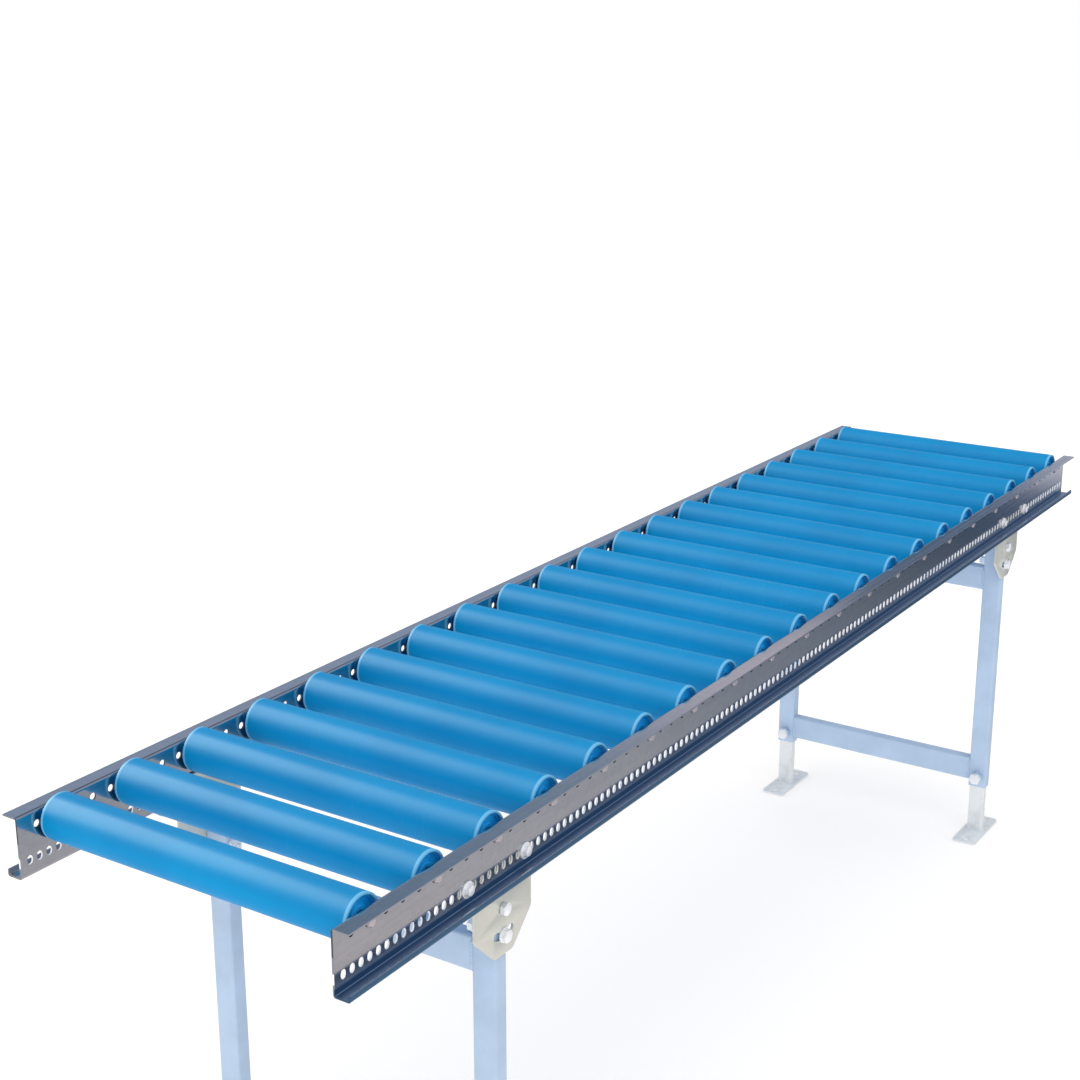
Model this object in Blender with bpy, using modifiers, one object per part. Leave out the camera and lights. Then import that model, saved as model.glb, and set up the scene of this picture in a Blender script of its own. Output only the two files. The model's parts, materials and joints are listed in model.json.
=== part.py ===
"""Gravity roller conveyor: 20 free-turning plastic rollers between two folded steel rails,
carried by two H-shaped stands that tilt in their head plates and telescope on four feet.

Metres, +Z up, +X along the conveyor. The origin is on the floor below the middle of the bed.
"""
import math

import bmesh
import bpy
from mathutils import Matrix, Vector

# Bed
ROLLER_COUNT = 20
ROLLER_PITCH = 0.100
AXLE_HEIGHT = 0.605
BED_LENGTH = ROLLER_COUNT * ROLLER_PITCH

# Rollers: a plastic tube closed by two end caps that carry the bearings
ROLLER_RADIUS = 0.025
ROLLER_LENGTH = 0.390
TUBE_WALL = 0.0028
CAP_RECESS = 0.004
CAP_DEPTH = 0.012
BORE_RADIUS = 0.0056
AXLE_RADIUS = 0.005
AXLE_LENGTH = 0.413

# Side rails: folded channel, open to the outside, with a small upturned lip at the bottom
RAIL_INNER_Y = 0.200
RAIL_HEIGHT = 0.068
RAIL_WIDTH = 0.020
RAIL_SHEET = 0.002
RAIL_LIP = 0.008
RAIL_BEND = 0.003
LIP_BEND = 0.003
RAIL_TOP = AXLE_HEIGHT + 0.015
AXLE_HOLE_RADIUS = 0.0056
SLOT_PITCH = 0.0125
SLOT_WIDTH = 0.006
SLOT_HEIGHT = 0.012
SLOT_Z = AXLE_HEIGHT - 0.036

# Head plates: two rail bolts above, the pivot below them and the locking slot around the pivot
STAND_X = 0.735
PIVOT_Z = 0.520
LOCK_RADIUS = 0.030
LOCK_SWING = math.radians(25)
LOCK_STEPS = 6
M8_RADIUS = 0.004
M8_HOLE_RADIUS = 0.0045
M8_HEX_RADIUS = 0.0075
M8_HEAD = 0.0053
PLATE_SHEET = 0.003
PLATE_HALF_WIDTH = 0.050
PLATE_TOP = 0.578
PLATE_BOTTOM = AXLE_HEIGHT - 0.137
PLATE_CHAMFER = 0.034
PLATE_CORNER = 0.008
EAR_REACH = 0.079
EAR_BOTTOM = 0.546
OUTER_BOLT_X = 0.065
INNER_BOLT_X = -0.035
RAIL_BOLT_HOLE = 0.0034
GAP = 0.0003

# Stand frames
UPRIGHT_X = 0.020
UPRIGHT_Y = 0.030
UPRIGHT_WALL = 0.002
UPRIGHT_BOTTOM = 0.0875
UPRIGHT_TOP = 0.546
CROSSBAR_X = 0.019
CROSSBAR_Z = 0.040
CROSSBAR_WALL = 0.002
TOP_CROSSBAR_Z = 0.462
LOW_CROSSBAR_Z = 0.118
WELD_DEPTH = 0.001
VENT_RADIUS = 0.004

# Height clamps: a nut welded on the upright and a screw that presses on the inner leg
CLAMP_Z = 0.106
M10_RADIUS = 0.005
M10_HOLE_RADIUS = 0.0055
M10_HEX_RADIUS = 0.0098
M10_HEAD = 0.0064
WELD_NUT_DEPTH = 0.008
WELD_NUT_ROOT = 0.0005

# Inner legs, each welded to its foot plate
LEG_CLEARANCE = 0.0004
LEG_WALL = 0.0018
LEG_TOP = 0.300
FOOT_LENGTH = 0.116
FOOT_WIDTH = 0.040
FOOT_SHEET = 0.004
FOOT_HOLE_X = 0.043
FOOT_HOLE_RADIUS = 0.0055

# How far a cutter runs past the face it cuts, and a pivot bolt past the upright
OVERRUN = 0.005
PIVOT_BOLT_TAIL = 0.012

# Facets around round pieces
ROLLER_FACETS = 16
PIN_FACETS = 12
VENT_FACETS = 8
HEX_FACETS = 6
BEND_STEPS = 3

PLATE_Y = RAIL_INNER_Y - GAP - PLATE_SHEET / 2
UPRIGHT_CENTRE_Y = PLATE_Y - PLATE_SHEET / 2 - GAP - UPRIGHT_Y / 2
SIDES = {"left": 1, "right": -1}
ENDS = {"infeed": -1, "outfeed": 1}


def clear_scene():
    for item in list(bpy.data.objects):
        bpy.data.objects.remove(item, do_unlink=True)


def new_collection(name):
    collection = bpy.data.collections.new(name)
    bpy.context.scene.collection.children.link(collection)
    return collection


def new_material(name, colour, roughness, metallic):
    material = bpy.data.materials.new(name)
    material.use_nodes = True
    shader = material.node_tree.nodes["Principled BSDF"]
    shader.inputs["Base Color"].default_value = (*colour, 1.0)
    shader.inputs["Roughness"].default_value = roughness
    shader.inputs["Metallic"].default_value = metallic
    return material


def add_object(name, mesh, collection, material=None):
    piece = bpy.data.objects.new(name, mesh)
    collection.objects.link(piece)
    if material and not mesh.materials:
        mesh.materials.append(material)
    return piece


def shade(mesh, angle=35):
    mesh.shade_smooth()
    mesh.set_sharp_from_angle(angle=math.radians(angle))


def mesh_from(name, build):
    """A mesh made by build(bm)."""
    bm = bmesh.new()
    build(bm)
    mesh = bpy.data.meshes.new(name)
    bm.to_mesh(mesh)
    bm.free()
    return mesh


def add_box(bm, low, high):
    low, high = Vector(low), Vector(high)
    place = Matrix.Translation((low + high) / 2) @ Matrix.Diagonal((*(high - low), 1.0))
    bmesh.ops.create_cube(bm, size=1.0, matrix=place)


def add_rod(bm, start, end, radius, facets=PIN_FACETS):
    """A capped cylinder from start to end, with a corner of its polygon at the top or side."""
    start, end = Vector(start), Vector(end)
    along = end - start
    turn = Vector((0, 0, 1)).rotation_difference(along).to_matrix().to_4x4()
    place = Matrix.Translation((start + end) / 2) @ turn
    bmesh.ops.create_cone(bm, cap_ends=True, segments=facets, radius1=radius, radius2=radius,
                          depth=along.length, matrix=place)


def box_mesh(name, low, high):
    return mesh_from(name, lambda bm: add_box(bm, low, high))


def rods_mesh(name, rods, radius, facets=PIN_FACETS):
    """Separate rods in one mesh, each given as (start, end)."""
    def build(bm):
        for start, end in rods:
            add_rod(bm, start, end, radius, facets)
    return mesh_from(name, build)


def arc(centre, radius, start, end, steps):
    """Points on an arc, angles in degrees, both ends included."""
    points = []
    for step in range(steps + 1):
        angle = math.radians(start + (end - start) * step / steps)
        points.append((centre[0] + radius * math.cos(angle), centre[1] + radius * math.sin(angle)))
    return points


def flat_piece(name, outlines, thickness, place):
    """A closed mesh from 2D outlines, the first outside and the rest holes, centred on its plane."""
    curve = bpy.data.curves.new(name, "CURVE")
    curve.dimensions = "2D"
    curve.fill_mode = "BOTH"
    curve.extrude = thickness / 2
    for outline in outlines:
        spline = curve.splines.new("POLY")
        spline.points.add(len(outline) - 1)
        for point, (u, v) in zip(spline.points, outline):
            point.co = (u, v, 0.0, 1.0)
        spline.use_cyclic_u = True
    drawn = bpy.data.objects.new(name, curve)
    bpy.context.scene.collection.objects.link(drawn)
    drawn.matrix_world = place
    bpy.context.view_layer.update()
    evaluated = drawn.evaluated_get(bpy.context.evaluated_depsgraph_get())
    mesh = bpy.data.meshes.new_from_object(evaluated)
    mesh.transform(place)
    bpy.data.objects.remove(drawn, do_unlink=True)
    bm = bmesh.new()
    bm.from_mesh(mesh)
    bmesh.ops.remove_doubles(bm, verts=bm.verts, dist=0.00001)
    bmesh.ops.recalc_face_normals(bm, faces=bm.faces)
    bm.to_mesh(mesh)
    bm.free()
    mesh.name = name
    return mesh


def combine(piece, mesh, operation, helpers):
    """A Boolean of the piece with a helper mesh given in the piece's own space."""
    helper = bpy.data.objects.new(f"{piece.name}_{mesh.name}", mesh)
    helpers.objects.link(helper)
    helper.matrix_world = piece.matrix_world.copy()
    helper.hide_render = True
    helper.display_type = "WIRE"
    step = piece.modifiers.new(mesh.name, "BOOLEAN")
    step.operation = operation
    step.solver = "EXACT"
    step.object = helper


def slot_outline(centre, width, height, steps=2):
    """An upright slot with round ends."""
    radius = width / 2
    reach = height / 2 - radius
    top = arc((centre[0], centre[1] + reach), radius, 0, 180, steps)
    bottom = arc((centre[0], centre[1] - reach), radius, 180, 360, steps)
    return top + bottom


def rail_section():
    """The rail's section: u grows outward from its inner face, v upward from its underside."""
    inner_bend = RAIL_BEND - RAIL_SHEET
    inner_lip = LIP_BEND - RAIL_SHEET
    top_bend = (RAIL_BEND, RAIL_HEIGHT - RAIL_BEND)
    low_bend = (RAIL_BEND, RAIL_BEND)
    lip_bend = (RAIL_WIDTH - LIP_BEND, LIP_BEND)
    section = [(RAIL_WIDTH, RAIL_HEIGHT)]
    section += arc(top_bend, RAIL_BEND, 90, 180, BEND_STEPS)
    section += arc(low_bend, RAIL_BEND, 180, 270, BEND_STEPS)
    section += arc(lip_bend, LIP_BEND, 270, 360, BEND_STEPS)
    section += [(RAIL_WIDTH, RAIL_LIP), (RAIL_WIDTH - RAIL_SHEET, RAIL_LIP)]
    section += arc(lip_bend, inner_lip, 360, 270, BEND_STEPS)
    section += arc(low_bend, inner_bend, 270, 180, BEND_STEPS)
    section += arc(top_bend, inner_bend, 180, 90, BEND_STEPS)
    section += [(RAIL_WIDTH, RAIL_HEIGHT - RAIL_SHEET)]
    return section


def roller_places():
    first = -(ROLLER_COUNT - 1) / 2 * ROLLER_PITCH
    return [first + index * ROLLER_PITCH for index in range(ROLLER_COUNT)]


def make_rails(parts, helpers, material):
    for side, sign in SIDES.items():
        # Local x runs outward, local y upward and local z along the bed.
        place = Matrix(((0, 0, 1, 0),
                        (sign, 0, 0, sign * RAIL_INNER_Y),
                        (0, 1, 0, RAIL_TOP - RAIL_HEIGHT),
                        (0, 0, 0, 1)))
        mesh = flat_piece(f"side_rail_{side}", [rail_section()], BED_LENGTH, place)
        rail = add_object(f"side_rail_{side}", mesh, parts, material)
        near = sign * (RAIL_INNER_Y - OVERRUN)
        far = sign * (RAIL_INNER_Y + RAIL_SHEET + OVERRUN)
        rods = [((x, near, AXLE_HEIGHT), (x, far, AXLE_HEIGHT)) for x in roller_places()]
        combine(rail, rods_mesh("axle_holes", rods, AXLE_HOLE_RADIUS), "DIFFERENCE", helpers)
        slots = []
        for end in ENDS.values():
            slots += [end * (STAND_X + OUTER_BOLT_X), end * (STAND_X + INNER_BOLT_X)]

        def build(bm, slots=slots, near=near, far=far):
            for x in slots:
                add_box(bm, (x - SLOT_WIDTH / 2, min(near, far), SLOT_Z - SLOT_HEIGHT / 2),
                        (x + SLOT_WIDTH / 2, max(near, far), SLOT_Z + SLOT_HEIGHT / 2))
        combine(rail, mesh_from("bolt_slots", build), "DIFFERENCE", helpers)
        shade(rail.data)


def roller_profile():
    """A closed loop in the XZ plane: the tube with its two bored end caps, running down outside."""
    half = ROLLER_LENGTH / 2
    inside = ROLLER_RADIUS - TUBE_WALL
    face = half - CAP_RECESS
    back = face - CAP_DEPTH
    upper = [(ROLLER_RADIUS, half)]
    lower = [(ROLLER_RADIUS, -half), (inside, -half), (inside, -face), (BORE_RADIUS, -face),
             (BORE_RADIUS, -back), (inside, -back)]
    rising = [(inside, back), (BORE_RADIUS, back), (BORE_RADIUS, face), (inside, face),
              (inside, half)]
    return upper + lower + rising


def roller_mesh(material):
    def build(bm):
        corners = [bm.verts.new((radius, 0.0, height)) for radius, height in roller_profile()]
        for start, end in zip(corners, corners[1:] + corners[:1]):
            bm.edges.new((start, end))
    mesh = mesh_from("roller", build)
    mesh.materials.append(material)
    return mesh


def make_rollers(parts, material):
    profile = roller_mesh(material)
    for index, x in enumerate(roller_places(), start=1):
        roller = add_object(f"roller_{index:02d}", profile, parts)
        roller.location = (x, 0.0, AXLE_HEIGHT)
        roller.rotation_euler = (math.radians(90), 0.0, 0.0)
        turn = roller.modifiers.new("turned", "SCREW")
        turn.axis = "Z"
        turn.angle = 2 * math.pi
        turn.steps = ROLLER_FACETS
        turn.render_steps = ROLLER_FACETS
        turn.use_merge_vertices = True
        turn.merge_threshold = 0.0001
        turn.use_smooth_shade = True


def make_axles(parts, material):
    half = AXLE_LENGTH / 2
    mesh = rods_mesh("axle", [((0, -half, 0), (0, half, 0))], AXLE_RADIUS)
    mesh.materials.append(material)
    shade(mesh)
    for index, x in enumerate(roller_places(), start=1):
        axle = add_object(f"axle_{index:02d}", mesh, parts)
        axle.location = (x, 0.0, AXLE_HEIGHT)


def plate_outline():
    """The head plate around its pivot: an ear for the outer rail bolt, then 45 degree shoulders."""
    top = PLATE_TOP - PIVOT_Z
    ear = EAR_BOTTOM - PIVOT_Z
    bottom = PLATE_BOTTOM - PIVOT_Z
    corner = PLATE_CORNER
    half = PLATE_HALF_WIDTH
    toe = half - PLATE_CHAMFER
    shoulder = bottom + PLATE_CHAMFER
    turn = corner * math.tan(math.radians(22.5))
    right = arc((half - corner, shoulder + turn), corner, 0, -45, 2)
    right_toe = arc((toe - turn, bottom + corner), corner, -45, -90, 2)
    left_toe = [(-u, v) for u, v in reversed(right_toe)]
    left = [(-u, v) for u, v in reversed(right)]
    ear_tip = arc((EAR_REACH - corner, ear + corner), corner, 0, -90, 3)
    outer_side = [(EAR_REACH, top)] + ear_tip + [(half, ear)] + right
    return outer_side + right_toe + left_toe + left + [(-half, top)]


def lock_slot():
    """The curved slot below the pivot that the tilt locking bolt travels in."""
    swing = math.degrees(LOCK_SWING)
    right_end = (LOCK_RADIUS * math.sin(LOCK_SWING), -LOCK_RADIUS * math.cos(LOCK_SWING))
    left_end = (-right_end[0], right_end[1])
    outer = arc((0, 0), LOCK_RADIUS + M8_HOLE_RADIUS, -90 - swing, -90 + swing, LOCK_STEPS)
    inner = arc((0, 0), LOCK_RADIUS - M8_HOLE_RADIUS, -90 + swing, -90 - swing, LOCK_STEPS)
    right_cap = arc(right_end, M8_HOLE_RADIUS, -90 + swing, 90 + swing, LOCK_STEPS)[1:-1]
    left_cap = arc(left_end, M8_HOLE_RADIUS, 90 - swing, 270 - swing, LOCK_STEPS)[1:-1]
    return outer + right_cap + inner + left_cap


def make_head_plates(parts, material):
    outlines = [plate_outline(), arc((0, 0), M8_HOLE_RADIUS, 0, 330, 11), lock_slot()]
    for offset in (OUTER_BOLT_X, INNER_BOLT_X):
        outlines.append(arc((offset, SLOT_Z - PIVOT_Z), RAIL_BOLT_HOLE, 0, 315, 7))
    upright = Matrix.Rotation(math.radians(90), 4, "X")
    mesh = flat_piece("head_plate", outlines, PLATE_SHEET, upright)
    mesh.materials.append(material)
    shade(mesh)
    for end, end_sign in ENDS.items():
        for side, sign in SIDES.items():
            plate = add_object(f"head_plate_{end}_{side}", mesh, parts)
            plate.location = (end_sign * STAND_X, sign * PLATE_Y, PIVOT_Z)
            if end_sign < 0:
                plate.rotation_euler = (0.0, 0.0, math.pi)


def upright_box(sign, shrink=0.0, low=UPRIGHT_BOTTOM, high=UPRIGHT_TOP):
    """Corners of an upright's outside, or of its inside when shrunk by the wall."""
    centre = sign * UPRIGHT_CENTRE_Y
    half_x = UPRIGHT_X / 2 - shrink
    half_y = UPRIGHT_Y / 2 - shrink
    return ((-half_x, centre - half_y, low - PIVOT_Z), (half_x, centre + half_y, high - PIVOT_Z))


def crossbar_box(height, reach, shrink=0.0):
    half_x = CROSSBAR_X / 2 - shrink
    half_z = CROSSBAR_Z / 2 - shrink
    return ((-half_x, -reach, height - half_z - PIVOT_Z), (half_x, reach, height + half_z - PIVOT_Z))


def weld_nut_rod(sign, depth=WELD_NUT_DEPTH, root=WELD_NUT_ROOT):
    """Axis of the nut welded on the upright's infeed-facing side."""
    y = sign * UPRIGHT_CENTRE_Y
    z = CLAMP_Z - PIVOT_Z
    return ((-UPRIGHT_X / 2 + root, y, z), (-UPRIGHT_X / 2 - depth, y, z))


def make_stand_frames(parts, helpers, material):
    inner_face = UPRIGHT_CENTRE_Y - UPRIGHT_Y / 2
    reach = inner_face + WELD_DEPTH
    crossbars = (TOP_CROSSBAR_Z, LOW_CROSSBAR_Z)
    for end, end_sign in ENDS.items():
        mesh = box_mesh(f"stand_frame_{end}", *upright_box(1))
        frame = add_object(f"stand_frame_{end}", mesh, parts, material)
        frame.location = (end_sign * STAND_X, 0.0, PIVOT_Z)
        bpy.context.view_layer.update()
        for height in crossbars:
            bar = box_mesh("crossbar", *crossbar_box(height, reach))
            combine(frame, bar, "UNION", helpers)
        combine(frame, box_mesh("upright", *upright_box(-1)), "UNION", helpers)
        nuts = [weld_nut_rod(sign) for sign in SIDES.values()]
        combine(frame, rods_mesh("weld_nuts", nuts, M10_HEX_RADIUS, HEX_FACETS), "UNION", helpers)

        def hollows(bm):
            for sign in SIDES.values():
                add_box(bm, *upright_box(sign, UPRIGHT_WALL, UPRIGHT_BOTTOM - OVERRUN,
                                         UPRIGHT_TOP + OVERRUN))
            for height in crossbars:
                add_box(bm, *crossbar_box(height, inner_face - 2 * WELD_DEPTH, CROSSBAR_WALL))
        combine(frame, mesh_from("hollows", hollows), "DIFFERENCE", helpers)

        def vents(bm):
            for height in crossbars:
                z = height - PIVOT_Z
                add_rod(bm, (0, -UPRIGHT_CENTRE_Y, z), (0, UPRIGHT_CENTRE_Y, z), VENT_RADIUS,
                        VENT_FACETS)
        combine(frame, mesh_from("vents", vents), "DIFFERENCE", helpers)

        def bolt_holes(bm):
            far = UPRIGHT_CENTRE_Y + UPRIGHT_Y
            near = UPRIGHT_CENTRE_Y - UPRIGHT_Y
            for sign in SIDES.values():
                for z in (0.0, -LOCK_RADIUS):
                    add_rod(bm, (0, sign * near, z), (0, sign * far, z), M8_HOLE_RADIUS)
                start, finish = weld_nut_rod(sign, WELD_NUT_DEPTH + OVERRUN, UPRIGHT_WALL + OVERRUN)
                add_rod(bm, start, finish, M10_HOLE_RADIUS)
        combine(frame, mesh_from("bolt_holes", bolt_holes), "DIFFERENCE", helpers)
        shade(frame.data)


def make_legs(parts, helpers, material):
    half_x = UPRIGHT_X / 2 - UPRIGHT_WALL - LEG_CLEARANCE
    half_y = UPRIGHT_Y / 2 - UPRIGHT_WALL - LEG_CLEARANCE
    sole = box_mesh("foot_leg", (-FOOT_LENGTH / 2, -FOOT_WIDTH / 2, 0.0),
                    (FOOT_LENGTH / 2, FOOT_WIDTH / 2, FOOT_SHEET))
    sole.materials.append(material)
    for end, end_sign in ENDS.items():
        for side, sign in SIDES.items():
            leg = add_object(f"foot_leg_{end}_{side}", sole, parts)
            leg.location = (end_sign * STAND_X, sign * UPRIGHT_CENTRE_Y, 0.0)
            bpy.context.view_layer.update()
            tube = box_mesh("leg_tube", (-half_x, -half_y, FOOT_SHEET / 2),
                            (half_x, half_y, LEG_TOP))
            combine(leg, tube, "UNION", helpers)
            hollow = box_mesh("leg_hollow", (-half_x + LEG_WALL, -half_y + LEG_WALL, FOOT_SHEET),
                              (half_x - LEG_WALL, half_y - LEG_WALL, LEG_TOP + OVERRUN))
            combine(leg, hollow, "DIFFERENCE", helpers)
            rods = [((x, 0, -OVERRUN), (x, 0, FOOT_SHEET + OVERRUN))
                    for x in (-FOOT_HOLE_X, FOOT_HOLE_X)]
            combine(leg, rods_mesh("anchor_holes", rods, FOOT_HOLE_RADIUS), "DIFFERENCE", helpers)


def bolt_mesh(name, length, radius, hex_radius, head):
    """A hexagon bolt along +Y: its head ends at y = 0 and its shank runs to y = -length."""
    shank = rods_mesh(name, [((0, -length, 0), (0, head / 2, 0))], radius)
    cap = rods_mesh(f"{name}_head", [((0, 0, 0), (0, head, 0))], hex_radius, HEX_FACETS)
    return shank, cap


def make_pivot_bolts(parts, helpers, material):
    length = PLATE_SHEET + UPRIGHT_Y + PIVOT_BOLT_TAIL
    for end, end_sign in ENDS.items():
        for side, sign in SIDES.items():
            shank, cap = bolt_mesh("pivot_bolt", length, M8_RADIUS, M8_HEX_RADIUS, M8_HEAD)
            shank.materials.append(material)
            bolt = add_object(f"pivot_bolt_{end}_{side}", shank, parts)
            seat = sign * (PLATE_Y + PLATE_SHEET / 2 + GAP)
            bolt.location = (end_sign * STAND_X, seat, PIVOT_Z)
            if sign < 0:
                bolt.rotation_euler = (0.0, 0.0, math.pi)
            bpy.context.view_layer.update()
            combine(bolt, cap, "UNION", helpers)


def make_clamp_bolts(parts, helpers, material):
    reach = WELD_NUT_DEPTH + UPRIGHT_WALL + LEG_CLEARANCE
    for end, end_sign in ENDS.items():
        for side, sign in SIDES.items():
            shank, cap = bolt_mesh("clamp_bolt", reach, M10_RADIUS, M10_HEX_RADIUS, M10_HEAD)
            shank.materials.append(material)
            bolt = add_object(f"clamp_bolt_{end}_{side}", shank, parts)
            seat = end_sign * STAND_X - UPRIGHT_X / 2 - WELD_NUT_DEPTH - GAP
            bolt.location = (seat, sign * UPRIGHT_CENTRE_Y, CLAMP_Z)
            bolt.rotation_euler = (0.0, 0.0, math.radians(90))
            bpy.context.view_layer.update()
            combine(bolt, cap, "UNION", helpers)


def main():
    clear_scene()
    parts = new_collection("gravity_roller_conveyor")
    helpers = new_collection("cutters")
    rail_steel = new_material("rail_steel", (0.30, 0.30, 0.32), 0.35, 0.85)
    roller_blue = new_material("roller_blue", (0.015, 0.26, 0.60), 0.38, 0.0)
    axle_steel = new_material("axle_steel", (0.55, 0.55, 0.57), 0.30, 1.0)
    plate_cream = new_material("plate_cream", (0.62, 0.61, 0.53), 0.50, 0.0)
    stand_blue = new_material("stand_blue", (0.46, 0.58, 0.78), 0.45, 0.0)
    leg_zinc = new_material("leg_zinc", (0.72, 0.75, 0.75), 0.40, 0.6)
    bolt_zinc = new_material("bolt_zinc", (0.70, 0.71, 0.72), 0.30, 1.0)
    make_rails(parts, helpers, rail_steel)
    make_rollers(parts, roller_blue)
    make_axles(parts, axle_steel)
    make_head_plates(parts, plate_cream)
    make_stand_frames(parts, helpers, stand_blue)
    make_legs(parts, helpers, leg_zinc)
    make_pivot_bolts(parts, helpers, bolt_zinc)
    make_clamp_bolts(parts, helpers, bolt_zinc)


main()
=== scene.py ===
"""The looks of the gravity roller conveyor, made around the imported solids.

Metres, +X along the conveyor from infeed to outfeed, +Y to the left rail, +Z up.
"""
import json
import math

import bmesh
import bpy
from mathutils import Matrix, Vector

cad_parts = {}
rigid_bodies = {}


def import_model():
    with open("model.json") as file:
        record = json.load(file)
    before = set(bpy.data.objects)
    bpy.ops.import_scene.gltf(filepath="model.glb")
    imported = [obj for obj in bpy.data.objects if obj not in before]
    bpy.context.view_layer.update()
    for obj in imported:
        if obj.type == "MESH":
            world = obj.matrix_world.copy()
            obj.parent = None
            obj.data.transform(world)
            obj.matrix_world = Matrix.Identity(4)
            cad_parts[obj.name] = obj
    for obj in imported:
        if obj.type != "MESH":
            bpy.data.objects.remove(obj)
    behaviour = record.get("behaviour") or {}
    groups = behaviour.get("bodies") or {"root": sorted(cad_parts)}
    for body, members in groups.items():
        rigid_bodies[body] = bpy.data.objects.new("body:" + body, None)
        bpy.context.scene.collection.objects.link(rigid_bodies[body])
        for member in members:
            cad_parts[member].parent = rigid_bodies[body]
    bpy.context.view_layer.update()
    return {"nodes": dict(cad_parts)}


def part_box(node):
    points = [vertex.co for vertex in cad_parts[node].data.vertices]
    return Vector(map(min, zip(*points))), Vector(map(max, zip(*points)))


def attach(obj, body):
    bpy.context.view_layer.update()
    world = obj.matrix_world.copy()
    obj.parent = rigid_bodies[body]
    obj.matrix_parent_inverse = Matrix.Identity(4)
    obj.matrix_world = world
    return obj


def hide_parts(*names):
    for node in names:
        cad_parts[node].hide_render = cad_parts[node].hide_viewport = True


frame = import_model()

# ---------------------------------------------------------------- driving sizes

ROLLERS = sorted(name for name in frame["nodes"] if name.startswith("roller_"))
SIDES = {"left": 1, "right": -1}
ENDS = {"infeed": -1, "outfeed": 1}


def middle(node):
    low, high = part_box(node)
    return (low + high) / 2


def size(node):
    low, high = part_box(node)
    return high - low


AXLE_Z = middle(ROLLERS[0]).z
ROLLER_RADIUS = size(ROLLERS[0]).z / 2
ROLLER_LENGTH = size(ROLLERS[0]).y
AXLE_LENGTH = size("axle_01").y
AXLE_RADIUS = size("axle_01").x / 2
BED_LENGTH = size("side_rail_left").x
RAIL_INNER_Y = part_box("side_rail_left")[0].y
RAIL_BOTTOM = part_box("side_rail_left")[0].z
RAIL_HEIGHT = size("side_rail_left").z
RAIL_WIDTH = size("side_rail_left").y
RAIL_SHEET = 0.002
RAIL_LIP = 0.008
RAIL_BEND = 0.003
LIP_BEND = 0.003
HOLE_PITCH = 0.025
HOLE_RADIUS = 0.0041
AXLE_HOLE_RADIUS = 0.0056
SLOT_PITCH = 0.0125
SLOT_WIDTH = 0.007
SLOT_HEIGHT = 0.010
SLOT_Z = AXLE_Z - 0.0350

TUBE_WALL = 0.0028
CAP_RECESS = 0.0030
HUB_RADIUS = 0.0118
SEAL_RADIUS = 0.0078

STAND_X = middle("foot_leg_outfeed_left").x
PIVOT_Z = middle("pivot_bolt_infeed_left").z
PLATE_Y = middle("head_plate_infeed_left").y
PLATE_SHEET = size("head_plate_infeed_left").y
PLATE_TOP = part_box("head_plate_infeed_left")[1].z
PLATE_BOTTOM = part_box("head_plate_infeed_left")[0].z
PLATE_HALF = 0.050
PLATE_CHAMFER = 0.034
PLATE_CORNER = 0.008
EAR_REACH = size("head_plate_infeed_left").x - PLATE_HALF
EAR_BOTTOM = 0.546
OUTER_BOLT_X = 0.065
INNER_BOLT_X = -0.035
LOCK_RADIUS = 0.030
LOCK_SWING = math.radians(25)
M8_HOLE = 0.0045

UPRIGHT = Vector((0.020, 0.030, 0.0))
UPRIGHT_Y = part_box("stand_frame_infeed")[1].y - UPRIGHT.y / 2
UPRIGHT_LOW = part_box("stand_frame_infeed")[0].z
UPRIGHT_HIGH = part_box("stand_frame_infeed")[1].z
UPRIGHT_WALL = 0.002
CROSSBAR = Vector((0.019, 0.0, 0.040))
CROSSBAR_WALL = 0.002
CROSSBAR_Z = {"top": 0.462, "low": 0.118}
CLAMP_Z = middle("clamp_bolt_infeed_left").z
WELD_NUT_DEPTH = 0.008
LEG_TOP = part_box("foot_leg_infeed_left")[1].z
FOOT = Vector((size("foot_leg_infeed_left").x, size("foot_leg_infeed_left").y, 0.004))
FOOT_HOLE_X = 0.043
FOOT_HOLE = 0.0055

# Fasteners: shank radius, thread pitch, size across flats, and heights of head, nut and washer.
M6 = {"radius": 0.0029, "pitch": 0.001, "across": 0.010, "head": 0.0042, "nut": 0.005,
      "washer": 0.0016}
M8 = {"radius": 0.004, "pitch": 0.00125, "across": 0.013, "head": 0.0053, "nut": 0.0065,
      "washer": 0.0014}
M10 = {"radius": 0.005, "pitch": 0.0015, "across": 0.017, "head": 0.0064}
BOLT_GAP = 0.0003
HEXAGON_FLAT = 0.96
HEXAGON_CHAMFER = math.radians(28)
THREAD_DEPTH = 0.55
WELD_RIPPLE = 0.13
WELD_RIPPLE_PITCH = 0.0034

# ---------------------------------------------------------------- mesh tools


def arc(centre, radius, start, end, steps):
    """Points on an arc, angles in degrees, both ends included."""
    points = []
    for step in range(steps + 1):
        angle = math.radians(start + (end - start) * step / steps)
        points.append((centre[0] + radius * math.cos(angle), centre[1] + radius * math.sin(angle)))
    return points


def circle(centre, radius, steps=32):
    return arc(centre, radius, 0, 360, steps)[:-1]


def rounded_rectangle(half_u, half_v, corner, steps=5):
    points = []
    for index, (u, v) in enumerate(((1, 1), (-1, 1), (-1, -1), (1, -1))):
        centre = (u * (half_u - corner), v * (half_v - corner))
        points += arc(centre, corner, 90 * index, 90 * index + 90, steps)
    return points


def finish_mesh(bm, name, sharp=30):
    bmesh.ops.remove_doubles(bm, verts=bm.verts, dist=0.000002)
    bmesh.ops.recalc_face_normals(bm, faces=bm.faces)
    mesh = bpy.data.meshes.new(name)
    bm.to_mesh(mesh)
    bm.free()
    mesh.shade_smooth()
    mesh.set_sharp_from_angle(angle=math.radians(sharp))
    return mesh


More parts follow.
